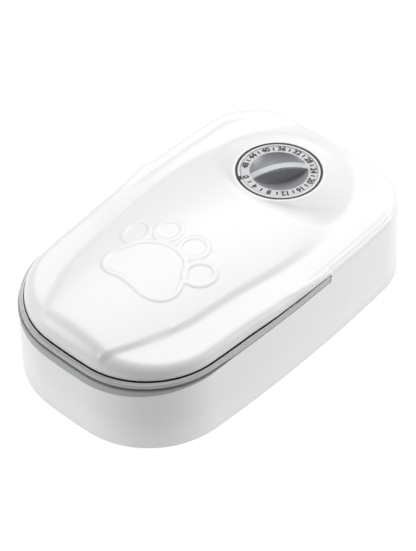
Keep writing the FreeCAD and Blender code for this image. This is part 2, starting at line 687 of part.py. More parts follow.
def gear_train():
    wheel = gear("DialWheel", "dial_teeth", 1.6, -12.8)
    wheel = cut("dial_gear", wheel, rod("DialWheelBore", "Sizes.shaft", 6, 0, 0, -15))
    keep(on_dial(wheel), "dial_gear")
    half_tooth = 180 / val("idler_small")
    small = gear("IdlerSmall", "idler_small", 2.2, -13.2, half_tooth - 90, idler_place)
    large = gear("IdlerLarge", "idler_large", 1.4, -14.6, 0, idler_place)
    bore = rod("IdlerBore", 0.8, 8, idler_place[0], idler_place[1], -17)
    keep(on_dial(cut("idler_gear", fuse("IdlerBlank", small, large), bore)), "idler_gear")
    arbor = rod("idler_arbor", 0.75, 8.0, idler_place[0], idler_place[1], -19.4)
    keep(on_dial(arbor), "idler_arbor")
    mesh_turn = rotor_heading - 180 + 180 / val("rotor_teeth")
    pinion = gear("RotorPinion", "rotor_teeth", 1.7, -14.8, mesh_turn, rotor_place)
    magnet = rod("RotorMagnet", 2.6, 2.4, rotor_place[0], rotor_place[1], -17.4)
    stem = rod("RotorStem", 0.9, 1.2, rotor_place[0], rotor_place[1], -15.4)
    bore = rod("RotorBore", 0.6, 8, rotor_place[0], rotor_place[1], -18)
    keep(on_dial(cut("motor_rotor", fuse("RotorBlank", pinion, magnet, stem), bore)), "motor_rotor")
    keep(on_dial(rod("rotor_pin", 0.55, 6.0, rotor_place[0], rotor_place[1], -19.4)), "rotor_pin")


def motor_parts():
    frame = box("StatorPlate", -22, 1, -18.7, 18, 14.5, 0.9)
    gap = rod("StatorGap", 2.9, 4, rotor_place[0], rotor_place[1], -20)
    posts = [box(f"StatorPost{i}", x, 2.8, -17.9, 1.2, 2.6, 3.4) for i, x in enumerate((-21.5, -5.7))]
    keep(on_dial(cut("motor_stator", fuse("StatorBlank", frame, *posts), gap)), "motor_stator")
    keep(on_dial(rod("motor_coil", 2.3, 14.6, -20.3, 4.1, -15.2, along_x)), "motor_coil")
    board = box("BoardPlate", -13, -23, -18.6, 26, 12.5, 1.2)
    holes = [rod(f"BoardHole{i}", 1.1, 4, x, -20.5, -20) for i, x in enumerate((-10.5, 10.5))]
    chip = box("BoardChip", -3.5, -19.5, -17.4, 7, 5, 1.3)
    crystal = box("BoardCrystal", 5.5, -18.5, -17.4, 2.2, 6, 2.0)
    keep(on_dial(cut("timer_board", fuse("BoardBlank", board, chip, crystal), fuse("BoardHoles", *holes))),
         "timer_board")


# ---------------------------------------------------------------- latch
pawl_pivot = (14.0, 8.0)
pawl_touch = (10.8, -1.0)
latch_level = -25.2
latch_thick = 1.6


def snail_cam():
    """Radius falls evenly over one turn, then steps back beside the follower."""
    step = math.degrees(math.atan2(pawl_touch[1], pawl_touch[0])) - 15
    points = []
    count = 24
    for i in range(count + 1):
        turn = 2 * math.pi * i / count
        radius = val("cam_radius") - val("cam_rise") * i / count
        lead = math.radians(step) + turn
        points.append(V(radius * math.cos(lead), radius * math.sin(lead), 0))
    curve = Part.BSplineCurve()
    curve.interpolate(points)
    wire = Part.Wire([curve.toShape(), Part.makeLine(points[-1], points[0])])
    cam = doc.addObject("Part::Feature", "SnailCam")
    cam.Shape = Part.Face(wire).extrude(V(0, 0, latch_thick))
    cam.Placement = FreeCAD.Placement(V(0, 0, latch_level), FreeCAD.Rotation())
    cam = cut("latch_cam", cam, rod("CamBore", "Sizes.shaft", 6, 0, 0, latch_level - 2))
    keep(on_dial(cam), "latch_cam")


def latch_pawl():
    hub = rod("PawlHub", 3.2, latch_thick, pawl_pivot[0], pawl_pivot[1], latch_level)
    nose = (7.6, -29.9)
    span = math.hypot(nose[0] - pawl_pivot[0], nose[1] - pawl_pivot[1])
    arm = box("PawlArm", 0, -1.5, 0, span, 3.0, latch_thick)
    heading = math.degrees(math.atan2(nose[1] - pawl_pivot[1], nose[0] - pawl_pivot[0]))
    pose = FreeCAD.Placement(V(*pawl_pivot, latch_level), FreeCAD.Rotation(V(0, 0, 1), heading))
    swing(arm, pose)
    touch = rod("PawlTouch", 1.5, latch_thick, pawl_touch[0], pawl_touch[1], latch_level)
    tab = box("PawlTab", 3.5, -31.7, latch_level, 6.0, 3.4, latch_thick)
    bore = rod("PawlBore", "1.5 + Sizes.running", 6, pawl_pivot[0], pawl_pivot[1], latch_level - 2)
    keep(on_dial(cut("latch_pawl", fuse("PawlBlank", hub, arm, touch, tab), bore)), "latch_pawl")
    pin = rod("PawlPinStem", 1.5, 5.3, pawl_pivot[0], pawl_pivot[1], -26.3)
    head = rod("PawlPinHead", 2.5, 0.8, pawl_pivot[0], pawl_pivot[1], -26.3)
    keep(on_dial(fuse("pawl_pin", pin, head)), "pawl_pin")
    spring = doc.addObject("Part::Feature", "PawlCoil")
    spring.Shape = coil(0.28, 2.1, 0.62, 2.5)
    spring.Placement = FreeCAD.Placement(V(pawl_pivot[0], pawl_pivot[1], -23.1), FreeCAD.Rotation())
    keep(on_dial(spring), "pawl_spring")


# ---------------------------------------------------------------- battery
def battery_parts():
    shell = box("BatteryShell", 39.0, 43.5, 39.6, 18.4, 55.0, 16.6)
    room = box("BatteryRoom", 40.4, 44.9, 38.0, 15.6, 52.2, 16.8)
    tabs = [box(f"BatteryTab{i}", 45, y, 52.0, 6, 6, 1.4) for i, y in enumerate((38.2, 97.8))]
    ears = [rod(f"DoorEar{i}", 1.4, 4.6, 59.0, y, 39.0, along_y) for i, y in enumerate((55.0, 82.4))]
    webs = [box(f"DoorEarWeb{i}", 56.6, y, 39.0, 2.4, 4.6, 3.0) for i, y in enumerate((55.0, 82.4))]
    holes = [rod(f"TabHole{i}", 1.2, 6, 48, y, 50) for i, (y, top) in enumerate(battery_screw_places())]
    holes.append(rod("DoorPinHole", 0.6, 40, 59.0, 52, 39.0, along_y))
    keep(cut("battery_box", fuse("BatteryBlank", shell, *tabs, *ears, *webs),
             fuse("BatteryVoid", room, *holes)), "battery_box")
    plate = box("DoorPlate", 39.2, 43.7, 38.0, 17.2, 54.6, 1.4)
    barrel = rod("DoorBarrel", 1.4, 22.2, 59.0, 59.9, 39.0, along_y)
    web = box("DoorWeb", 56.0, 59.9, 38.0, 3.0, 22.2, 1.2)
    grip = box("DoorLip", 39.2, 62.0, 37.2, 1.4, 18.0, 1.0)
    bore = rod("DoorBore", "0.6 + Sizes.running", 40, 59.0, 52, 39.0, along_y)
    keep(cut("battery_door", fuse("DoorBlank", plate, barrel, web, grip), bore), "battery_door")
    keep(rod("door_pin", 0.6, 32.0, 59.0, 55.0, 39.0, along_y), "door_pin")
    can = rod("CellCan", 7.0, 49.0, 48.2, 46.2, 47.6, along_y)
    stud = rod("CellStud", 2.7, 1.2, 48.2, 95.1, 47.6, along_y)
    keep(fuse("battery_cell", can, stud), "battery_cell")
    flat = box("ContactFlat", 43.5, 96.4, 43.0, 9, 0.5, 10)
    sprung = box("ContactPlate", 43.5, 45.0, 43.0, 9, 0.4, 10)
    bump = doc.addObject("Part::Cone", "ContactCone")
    bind(bump, Radius1="3.4", Radius2="2.0", Height="0.7")
    bump.Placement = FreeCAD.Placement(V(48.2, 45.4, 47.6), along_y)
    keep(group("battery_contacts", flat, fuse("ContactSpring", sprung, bump)), "battery_contacts")
    screws = [screw(f"BoxScrew{i}", 48, y, 52.0, 5.5, 2.2, 1.1, -1) for i, (y, top) in
              enumerate(battery_screw_places())]
    keep(group("box_screws", *screws), "box_screws")


for maker in (base_shell, food_tray, rim_seal, cold_pack, food_bowl, rubber_feet, hinge_parts, latch_keeper,
              lid_shell, lid_liner, timer_case, bezel_ring, timer_knob, gear_train, motor_parts,
              snail_cam, latch_pawl, battery_parts):
    maker()
doc.recompute()

os.makedirs("parts", exist_ok=True)
faults = [o.Name for o in doc.Objects if {"Invalid", "Error"} & set(o.State)]
for thing in kept:
    shape = thing.Shape
    if shape.isNull() or not shape.isValid() or not shape.Solids:
        faults.append(thing.Label)
if faults:
    raise SystemExit("failed objects: " + ", ".join(faults))
for thing in kept:
    thing.Shape.exportStep(f"parts/{thing.Label}.step")
    print(thing.Label, round(thing.Shape.Volume), len(thing.Shape.Solids))
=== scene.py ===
import json
import math
import bmesh
import bpy
import numpy as np
from mathutils import Matrix, Quaternion, Vector


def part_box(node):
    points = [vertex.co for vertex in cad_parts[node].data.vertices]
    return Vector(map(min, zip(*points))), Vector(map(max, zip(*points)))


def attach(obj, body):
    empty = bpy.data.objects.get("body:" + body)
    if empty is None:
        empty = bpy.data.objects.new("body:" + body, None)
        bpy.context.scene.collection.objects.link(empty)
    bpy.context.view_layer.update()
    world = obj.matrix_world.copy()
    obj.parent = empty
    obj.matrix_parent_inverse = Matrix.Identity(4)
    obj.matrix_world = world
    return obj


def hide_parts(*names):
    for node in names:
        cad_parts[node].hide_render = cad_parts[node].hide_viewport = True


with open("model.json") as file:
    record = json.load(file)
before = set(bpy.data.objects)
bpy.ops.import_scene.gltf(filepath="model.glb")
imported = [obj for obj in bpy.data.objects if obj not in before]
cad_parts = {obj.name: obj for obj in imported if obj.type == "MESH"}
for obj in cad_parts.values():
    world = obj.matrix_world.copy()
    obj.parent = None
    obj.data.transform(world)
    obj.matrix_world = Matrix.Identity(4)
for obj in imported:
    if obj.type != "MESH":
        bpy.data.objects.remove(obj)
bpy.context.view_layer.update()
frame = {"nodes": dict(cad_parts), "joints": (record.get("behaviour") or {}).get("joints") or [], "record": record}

mm = 0.001


def corners(node):
    low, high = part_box(node)
    return Vector(low) / mm, Vector(high) / mm


# Every length below is in millimetres until bakePiece writes the mesh in metres.
baseLow, baseHigh = corners("base_shell")
sealLow, sealHigh = corners("rim_seal")
trayLow, trayHigh = corners("food_tray")
bowlLow, bowlHigh = corners("food_bowl")
joints = {joint["name"]: joint for joint in frame["joints"]}
hinge = Vector(joints["lid_hinge"]["pos_m"]) / mm
dial = Vector(joints["timer_dial"]["pos_m"]) / mm
dialUp = -Vector(joints["timer_dial"]["axis"])

tub = {
    "splay": 1.1,          # the foot of the wall stands out by this much
    "footTuck": 1.2,       # the underside starts this far in
    "waist": 27.0,         # half of the splay is gone at this level
    "widestY": 19.0,       # where the outline is widest
    "noseRadius": 400.0,
    "noseCorner": 56.5,
    "flankRadius": 1010.0,
    "tailCorner": 37.5,
    "tailRadius": 840.0,
    "wall": 2.4,
    "floor": 2.5,
    "floorRound": 6.0,     # the round between the wall and the floor
    "stripEnd": 30.0,      # the grey strip stops here
    "rimSide": 50.6,       # wall top beside the food
    "rimNose": 44.5,       # wall top at the nose
    "rimBend": -40.0,      # the wall top dips ahead of this
    "seam": 54.2,          # wall top behind the strip
    "rearFrom": 40.0,      # the taller rear wall grows out of the tub at this level
    "notchHalf": 36.6,     # half width of the hinge notch
    "notchFloor": 49.6,
    "bulkhead": ((-72.4, 30.6, 2.0), (72.4, 32.6, 48.0)),
    "bossX": 48.0,         # two bosses under the tray
    "bossY": -72.0,
    "bossRadius": 3.4,
    "bossTop": 9.0,
    "bossFoot": 2.0,       # inside the floor
    "samples": 384,        # points round the outline
}
tub["halfWidth"] = baseHigh.x - tub["splay"]
tub["reach"] = -baseLow.y - tub["splay"]
tub["foot"] = baseLow.z


# The plan outline that every shell follows is made of arcs that run into each other.
def cornerCentre(firstCentre, firstReach, secondCentre, secondReach):
    gap = secondCentre - firstCentre
    along = (firstReach ** 2 - secondReach ** 2 + gap.length_squared) / (2 * gap.length)
    side = math.sqrt(firstReach ** 2 - along ** 2)
    unit = gap.normalized()
    normal = Vector((-unit.y, unit.x))
    return max((firstCentre + unit * along + normal * way * side for way in (1, -1)), key=lambda p: p.x)


def outlineArcs():
    nose = Vector((0, tub["noseRadius"] - tub["reach"]))
    flank = Vector((tub["halfWidth"] - tub["flankRadius"], tub["widestY"]))
    tail = Vector((0, tub["reach"] - tub["tailRadius"]))
    noseCorner, tailCorner = tub["noseCorner"], tub["tailCorner"]
    front = cornerCentre(nose, tub["noseRadius"] - noseCorner, flank, tub["flankRadius"] - noseCorner)
    rear = cornerCentre(flank, tub["flankRadius"] - tailCorner, tail, tub["tailRadius"] - tailCorner)
    turns = [(front - nose), (front - flank), (rear - flank), (rear - tail)]
    turns = [math.atan2(v.y, v.x) for v in turns]
    half = [
        (nose, tub["noseRadius"], -math.pi / 2, turns[0]),
        (front, noseCorner, turns[0], turns[1]),
        (flank, tub["flankRadius"], turns[1], turns[2]),
        (rear, tailCorner, turns[2], turns[3]),
        (tail, tub["tailRadius"], turns[3], math.pi / 2),
    ]
    mirrored = [(Vector((-c.x, c.y)), r, math.pi - b, math.pi - a) for c, r, a, b in reversed(half)]
    return half + mirrored


def outlinePath():
    arcs = outlineArcs()
    lengths = [r * (b - a) for c, r, a, b in arcs]
    total = sum(lengths)
    path = []
    arcIndex, passed = 0, 0.0
    for sample in range(tub["samples"]):
        reach = total * sample / tub["samples"]
        while reach > passed + lengths[arcIndex]:
            passed += lengths[arcIndex]
            arcIndex += 1
        centre, radius, start, end = arcs[arcIndex]
        heading = start + (reach - passed) / radius
        normal = Vector((math.cos(heading), math.sin(heading)))
        path.append((centre + normal * radius, normal))
    return path


path = outlinePath()


def rimLevel(point):
    # side view of the wall top: level beside the food, then an arc down to the nose
    fall = tub["rimSide"] - tub["rimNose"]
    run = tub["reach"] + tub["rimBend"]
    radius = (run ** 2 + fall ** 2) / (2 * fall)
    ahead = max(0.0, tub["rimBend"] - point.y)
    return tub["rimSide"] - radius + math.sqrt(radius ** 2 - ahead ** 2)


def easeStep(value, low, high):
    part = min(1.0, max(0.0, (value - low) / (high - low)))
    return part * part * (3 - 2 * part)


def placeRing(verts, layer, inset, level):
    for vert in verts:
        point, normal = path[vert[layer]]
        depth = inset(point, normal) if callable(inset) else inset
        height = level(point) if callable(level) else level
        place = point - normal * depth
        vert.co = (place.x, place.y, height)


def newVerts(made):
    return [g for g in made if isinstance(g, bmesh.types.BMVert)]


def newEdges(made):
    return [g for g in made if isinstance(g, bmesh.types.BMEdge)]


def edgesOf(verts):
    # each edge once, and in the same order on every run
    return list(dict.fromkeys(edge for vert in verts for edge in vert.link_edges))


def outlineSweep(profile, shape=None, capFirst=False, capLast=False, close=False):
    # sweeps a list of (inset, level) round the outline
    shape = shape or bmesh.new()
    layer = shape.verts.layers.int.get("sample") or shape.verts.layers.int.new("sample")
    ring = bmesh.ops.create_circle(shape, segments=tub["samples"], radius=1)["verts"]
    for index, vert in enumerate(ring):
        vert[layer] = index
    placeRing(ring, layer, *profile[0])
    firstEdges = edgesOf(ring)
    edges = firstEdges
    for step in profile[1:]:
        made = bmesh.ops.extrude_edge_only(shape, edges=edges)["geom"]
        placeRing(newVerts(made), layer, *step)
        edges = newEdges(made)
    if close:
        bmesh.ops.bridge_loops(shape, edges=firstEdges + edges)
    if capFirst:
        bmesh.ops.contextual_create(shape, geom=firstEdges)
    if capLast:
        bmesh.ops.contextual_create(shape, geom=edges)
    return shape


def clipAt(shape, y, keepFront=True):
    # cuts the swept shape square across and closes the cut
    made = bmesh.ops.bisect_plane(
        shape, geom=shape.verts[:] + shape.edges[:] + shape.faces[:], plane_co=(0, y, 0), plane_no=(0, 1, 0),
        clear_outer=keepFront, clear_inner=not keepFront,
    )["geom_cut"]
    edges = newEdges(made)
    bmesh.ops.holes_fill(shape, edges=edges, sides=0)


def addBlock(shape, low, high, bevel=0.0):
    low, high = Vector(low), Vector(high)
    made = bmesh.ops.create_cube(shape, size=1)["verts"]
    bmesh.ops.scale(shape, verts=made, vec=high - low)
    bmesh.ops.translate(shape, verts=made, vec=(low + high) / 2)
    if bevel:
        edges = edgesOf(made)
        bmesh.ops.bevel(shape, geom=edges, offset=bevel, segments=2, profile=0.5, affect="EDGES", material=-1)


def joinInto(shape, extra):
    mesh = bpy.data.meshes.new("part")
    extra.to_mesh(mesh)
    extra.free()
    shape.from_mesh(mesh)
    bpy.data.meshes.remove(mesh)


def addTurned(shape, profile, steps=96, centre=(0, 0, 0), axis=(0, 0, 1), close=False):
    # spins a list of (radius, height) about the local axis
    turned = bmesh.new()
    verts = [turned.verts.new((radius, 0, height)) for radius, height in profile]
    edges = [turned.edges.new(pair) for pair in zip(verts, verts[1:])]
    if close:
        edges.append(turned.edges.new((verts[-1], verts[0])))
    bmesh.ops.spin(
        turned, geom=verts + edges, cent=(0, 0, 0), axis=(0, 0, 1), angle=2 * math.pi, steps=steps,
        use_merge=True,
    )
    bmesh.ops.remove_doubles(turned, verts=turned.verts[:], dist=1e-4)
    bmesh.ops.transform(turned, verts=turned.verts[:], matrix=placeAlong(centre, axis))
    joinInto(shape, turned)


def placeAlong(centre, axis):
    turn = Vector((0, 0, 1)).rotation_difference(Vector(axis))
    return Matrix.Translation(centre) @ turn.to_matrix().to_4x4()


dialPlace = placeAlong(dial, dialUp)


def bakePiece(shape, name, body, material, nodes=(), smoothAngle=35, openShell=False):
    # millimetres to metres, normals outwards, smooth shading with sharp creases
    bmesh.ops.recalc_face_normals(shape, faces=shape.faces[:])
    if openShell and max(shape.faces, key=lambda face: face.calc_center_median().z).normal.z < 0:
        bmesh.ops.reverse_faces(shape, faces=shape.faces[:])
    bmesh.ops.scale(shape, verts=shape.verts[:], vec=(mm, mm, mm))
    limit = math.radians(smoothAngle)
    for face in shape.faces:
        face.smooth = True
    for edge in shape.edges:
        edge.smooth = len(edge.link_faces) != 2 or edge.calc_face_angle(0) < limit
    mesh = bpy.data.meshes.new(name)
    shape.to_mesh(mesh)
    shape.free()
    piece = bpy.data.objects.new(name, mesh)
    bpy.context.scene.collection.objects.link(piece)
    mesh.materials.append(material)
    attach(piece, body)
    if nodes:
        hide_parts(*nodes)
    return piece


class Wire:
    # a socket that can be used in sums
    def __init__(self, maker, socket):
        self.maker = maker
        self.socket = socket

    def sum(self, operation, other, swapped=False):
        pair = (other, self) if swapped else (self, other)
        node = self.maker.node("ShaderNodeMath", {"operation": operation}, {0: pair[0], 1: pair[1]})
        return self.maker.out(node)

    def __add__(self, other):
        return self.sum("ADD", other)

    def __radd__(self, other):
        return self.sum("ADD", other, True)

    def __sub__(self, other):
        return self.sum("SUBTRACT", other)

    def __rsub__(self, other):
        return self.sum("SUBTRACT", other, True)

    def __mul__(self, other):
        return self.sum("MULTIPLY", other)

    def __rmul__(self, other):
        return self.sum("MULTIPLY", other, True)


class Finish:
    def __init__(self, name):
        self.material = bpy.data.materials.new(name)
        self.material.use_nodes = True
        self.tree = self.material.node_tree
        self.shader = self.tree.nodes["Principled BSDF"]
        self.place = self.out(self.node("ShaderNodeTexCoord"), "Object")

    def node(self, kind, settings=None, sockets=None):
        node = self.tree.nodes.new(kind)
        for key, value in (settings or {}).items():
            setattr(node, key, value)
        for key, value in (sockets or {}).items():
            self.feed(node.inputs[key], value)
        return node

    def out(self, node, name=0):
        return Wire(self, node.outputs[name])

    def feed(self, socket, value):
        if isinstance(value, Wire):
            self.tree.links.new(value.socket, socket)
        else:
            socket.default_value = value

    def noise(self, scale, detail=3.0, rough=0.55):
        sockets = {"Vector": self.place, "Scale": scale, "Detail": detail, "Roughness": rough}
        return self.out(self.node("ShaderNodeTexNoise", None, sockets), "Fac")

    def mixColour(self, factor, first, second):
        # sockets 6 and 7 and output 2 are the Mix node's colours
        node = self.node("ShaderNodeMix", {"data_type": "RGBA"}, {0: factor, 6: first, 7: second})
        return self.out(node, 2)

    def bump(self, height, strength, distance, under=None):
        sockets = {"Height": height, "Strength": strength, "Distance": distance}
        if under:
            sockets["Normal"] = under
        return self.out(self.node("ShaderNodeBump", None, sockets), "Normal")

    def set(self, **values):
        for key, value in values.items():
            self.feed(self.shader.inputs[key.replace("_", " ")], value)
        return self.material


def tone(red, green, blue):
    return (red, green, blue, 1.0)


def mouldedPlastic(name, colour, rough, grain=0.02, grainScale=2200.0, waviness=0.0, coat=0.0, drift=0.03):
    # moulded plastic: slow colour drift, cloudy gloss, fine skin texture and a little flow waviness
    finish = Finish(name)
    slow = finish.noise(14.0, 2.0)
    cloudy = finish.noise(60.0, 4.0)
    darker = tone(*(c * (1 - drift) for c in colour[:3]))
    skin = finish.bump(finish.noise(grainScale, 2.0), grain, 0.0002)
    wavy = finish.bump(finish.noise(26.0, 1.0), waviness, 0.002, skin) if waviness else skin
    finish.set(
        Base_Color=finish.mixColour(slow, darker, tone(*colour)),
        Roughness=cloudy * 0.10 + (rough - 0.05),
        Normal=wavy,
        Coat_Weight=coat,
        Coat_Roughness=0.06,
    )
    return finish.material


def metalFinish(name, colour, rough, scale=900.0):
    # bare metal with fine uneven streaks
    finish = Finish(name)
    streaks = finish.noise(scale, 3.0)
    finish.set(
        Base_Color=finish.mixColour(streaks, tone(*(c * 0.82 for c in colour)), tone(*colour)),
        Roughness=streaks * 0.22 + (rough - 0.1),
        Metallic=1.0,
        Normal=finish.bump(streaks, 0.12, 0.0001),
    )
    return finish.material


finishes = {
    "shell_white": mouldedPlastic("glossWhite", (0.78, 0.785, 0.79), 0.34, 0.010, 1500.0, 0.006, 0.12, 0.012),
    "tray_grey": mouldedPlastic("satinGrey", (0.36, 0.37, 0.375), 0.38, 0.05, 2600.0),
    "seal_grey": mouldedPlastic("sealGrey", (0.47, 0.475, 0.48), 0.45, 0.08, 2400.0),
    "bowl_plastic": mouldedPlastic("bowlGrey", (0.66, 0.67, 0.68), 0.3, 0.02),
    "gel_pack": mouldedPlastic("gelBlue", (0.10, 0.30, 0.62), 0.25, 0.03, 400.0, 0.02, 0.3, 0.2),
    "foot_rubber": mouldedPlastic("footRubber", (0.03, 0.03, 0.032), 0.75, 0.15, 1800.0),
    "steel": metalFinish("brightSteel", (0.62, 0.62, 0.63), 0.3),
    "brass": metalFinish("plainBrass", (0.72, 0.52, 0.22), 0.32),
    "dial_grey": mouldedPlastic("dialGrey", (0.53, 0.54, 0.555), 0.38, 0.03, 2600.0),
    "index_cream": mouldedPlastic("indexCream", (0.72, 0.71, 0.68), 0.4, 0.03, 2600.0),
    "inner_plastic": mouldedPlastic("innerWhite", (0.68, 0.68, 0.67), 0.45, 0.06, 2000.0),
    "case_black": mouldedPlastic("caseBlack", (0.012, 0.012, 0.014), 0.5, 0.06, 2000.0),
    "acetal": mouldedPlastic("milkyAcetal", (0.74, 0.72, 0.66), 0.35, 0.02),
    "copper_coil": metalFinish("windingCopper", (0.62, 0.28, 0.14), 0.35, 1600.0),
    "circuit": mouldedPlastic("circuitGreen", (0.015, 0.12, 0.05), 0.35, 0.05, 1200.0),
    "cell_jacket": mouldedPlastic("cellJacket", (0.05, 0.055, 0.065), 0.3, 0.02, 1500.0, 0.0, 0.4),
}
# a lighter grey than the seal, used for the gasket lip: painted highlight along the lip
lipHighlightGrey = mouldedPlastic("lipHighlightGrey", (0.66, 0.67, 0.675), 0.35, 0.03)
# a darker grey for the knob's scoops: painted shade in the recesses of a knob that is one grey
scoopShadeGrey = mouldedPlastic("scoopShadeGrey", (0.29, 0.295, 0.31), 0.32, 0.03, 2600.0)
ink = mouldedPlastic("printInk", (0.012, 0.012, 0.014), 0.5, 0.02)
print("finishes made", len(finishes) + 3)

for entry in frame["record"]["subparts"]:
    solid = frame["nodes"][entry["node"]]
    finish = finishes[entry["material_slot"]]
    if not solid.material_slots:
        solid.data.materials.append(finish)
    for slot in solid.material_slots:
        slot.material = finish


lid = {
    "edgeNose": 54.9,      # lower edge above the strip
    "edgeRise": 1.8,       # the edge climbs by this before the strip ends
    "flushSpan": (-10.0, 25.0),
    "edgeTail": 54.22,      # tight seam behind the strip
    "crownTop": 72.5,
    "crownY": -30.0,
    "crownLong": 800.0,
    "crownAcross": 150.0,
    "creaseStep": 1.5,     # the plateau's edge drops by this
    "creaseSpread": (1.5, 2.5),  # half width of that drop at the nose and at the tail
    "shelfSlope": 0.12,    # the shelf outside the crease falls gently
    "skin": 2.0,
    "poleY": 12.0,         # where the rings of the skin's mesh close
    "ringStep": 1.75,      # spacing of the inner rings
    "footWall": 0.4,       # upright wall left under the rounded side
    "sideRound": 13.0,     # the largest radius of the rounded side
    "valleyDepth": 0.9,    # a shallow valley runs along the rear shoulders
    "valleyInset": 7.5,
    "valleyWidth": 2.6,
    "noseInset": 3.9,      # how far the lid's foot stands in from the tub at the nose
    "insetSteps": ((0.9, -115.0, -60.0), (1.0, -40.0, -10.0), (1.95, -12.0, 29.0)),  # drop, from y, to y
    "flushInset": 0.05,
    "tailInset": 0.3,
    "tailSpan": (-66.0, -54.0),
    "tailLift": 1.5,       # room under the lid's tail for its swing
    "collarLip": 0.5,      # the collar stands above the dial face
    "collarFlat": 28.2,
    "collarSlope": 0.5,
    "collarReach": 48.0,
    "bore": 26.8,
    "boreDepth": 2.6,
    "pawHeight": 0.5,
    "pawWidth": 1.7,       # half width of the raised line
}
creaseLine = np.array([
    (-118, 22), (-110, 25), (-102, 28.5), (-90, 34.1), (-74, 40), (-58, 43.8), (-42, 45.6), (-20, 47.8),
    (11, 52), (35, 53.8), (63, 52.3), (88, 45.5), (105, 38), (118, 30)
], dtype=float)  # y, then how far the crease is from the middle
shelfLine = np.array([(-118, 62.5), (-60, 61.2), (-30, 60.6), (20, 59.8), (90, 58.6), (118, 57.8)],
                     dtype=float)  # y, then the lowest level of the skin there
padLine = [  # the raised outline of the pad
    (-27.0, -52.0), (-24.2, -44.0), (-19.0, -35.0), (-9.5, -28.0), (1.5, -25.9), (11.5, -28.6), (18.5, -35.5),
    (23.5, -45.0), (25.3, -53.0), (22.0, -60.8), (13.5, -64.6), (2.0, -63.6), (-8.0, -62.8), (-16.5, -64.0),
    (-24.0, -60.6),
]
toes = [  # centre x and y, half width, half length, lean in degrees
    (-27.4, -29.0, 7.8, 9.8, 18),
    (-12.3, -17.0, 7.9, 9.0, 5),
    (8.9, -18.0, 8.2, 9.2, -5),
    (24.9, -30.6, 8.0, 9.8, -18),
]


hingeKnuckle = {
    "radius": 3.0,
    "bore": 1.35,
    "length": 9.0,
    "tubStarts": (-36.0, -4.5, 27.0),
    "lidStarts": (-26.6, 17.6),
    "web": 1.5,            # half thickness of the web that carries each knuckle
}


def inNotch(point):
    return abs(point.x) < tub["notchHalf"] and point.y > 100


def wallTop(point):
    return min(rimLevel(point), tub["notchFloor"]) if inNotch(point) else rimLevel(point)


def seamTop(drop):
    return lambda point: tub["notchFloor"] if inNotch(point) else tub["seam"] - drop


def addKnuckles(shape, starts, webEnd):
    # short tubes round the hinge pin, each on its own web
    half, bore, radius, length = (hingeKnuckle[key] for key in ("web", "bore", "radius", "length"))
    for start in starts:
        tube = [(bore, 0), (radius, 0), (radius, length), (bore, length)]
        addTurned(shape, tube, 32, (start, hinge.y, hinge.z), (1, 0, 0), True)
        near = hinge.z + math.copysign(bore + 0.4, webEnd - hinge.z)
        low, high = sorted((near, webEnd))
        addBlock(shape, (start, hinge.y - half, low), (start + length, hinge.y + half, high))


def makeTub():
    wall, foot, splay = tub["wall"], tub["foot"], tub["splay"]
    inner = wall + tub["floorRound"]
    shape = outlineSweep([
        (inner, foot),
        (tub["footTuck"], foot),
        (-0.2 - splay * 0.2, foot + 0.4),
        (-splay, foot + 1.6),
        (-splay * 0.5, tub["waist"]),
        (-0.1, tub["notchFloor"] - 6),
        (0.0, wallTop),
        (0.35, lambda point: wallTop(point) + 0.02),
        (wall, wallTop),
        (wall, 30.0),
        (wall, foot + 5),
        (wall + 2, foot + 3),
        (inner, foot + tub["floor"]),
    ], capFirst=True, capLast=True)
    rearFrom = tub["rearFrom"]
    rear = outlineSweep([
        (0.0, rearFrom), (0.0, seamTop(0.1)), (0.1, seamTop(0)), (wall, seamTop(0)), (wall, rearFrom),
    ], close=True)
    clipAt(rear, tub["stripEnd"], keepFront=False)
    joinInto(shape, rear)
    addBlock(shape, *tub["bulkhead"], 0.3)
    addKnuckles(shape, hingeKnuckle["tubStarts"], tub["notchFloor"] - 2)
    radius, top = tub["bossRadius"], tub["bossTop"]
    for x in (-tub["bossX"], tub["bossX"]):
        addTurned(shape, [(0, top), (radius, top), (radius, tub["bossFoot"])], 32, (x, tub["bossY"], 0))
    return bakePiece(shape, "tub_shell", "base", finishes["shell_white"], ("base_shell",))


makeTub()
print("tub made")


tray = {
    "proud": 0.3,          # the flange stands out this far round the nose
    "proudSpan": (52.0, 80.0),
    "flangeSides": 0.1,    # and is set back this far along the flanks
    "rim": (0.2, 4.2),     # the flat rim lies between these insets
    "wallInset": 4.5,
    "backInset": 2.7,      # outer face of the tray's wall
    "floorRound": 14.0,
    "floorInset": 60.0,
    "sheet": 1.8,
    "middle": ((-16.0, -64.0), (16.0, 29.0)),  # closes the floor inside the swept band
    "backHalf": 70.4,
}


def flangeInset(point, normal):
    reach = tray["flangeSides"] + tray["proud"]
    return tray["flangeSides"] - reach * easeStep(-point.y, *tray["proudSpan"])


def makeTray():
    top, low, sheet = trayHigh.z, trayLow.z, tray["sheet"]
    rimOuter, rimInner = tray["rim"]

    def underFlange(point):
        return min(rimLevel(point), top - 0.05)

    shape = outlineSweep([
        (flangeInset, underFlange),
        (flangeInset, lambda point: max(underFlange(point), top - 0.4)),
        (rimOuter, top),
        (rimInner, top),
        (tray["wallInset"], top - 0.3),
        (tray["wallInset"], 16.0),
        (tray["wallInset"] + 2, low + 1.9),
        (tray["floorRound"], low + sheet),
        (tray["floorInset"], low + sheet),
        (tray["floorInset"], low),
        (6.0, low),
        (tray["backInset"], low + 3.5),
        (tray["backInset"], underFlange),
    ], close=True)
    clipAt(shape, trayHigh.y)
    (left, front), (right, back) = tray["middle"]
    addBlock(shape, (left, front, low), (right, back, low + sheet))
    half = tray["backHalf"]
    addBlock(shape, (-half, trayHigh.y - sheet, low + 1), (half, trayHigh.y, top), 0.25)
    return bakePiece(shape, "cold_tray", "base", finishes["tray_grey"], ("food_tray",))


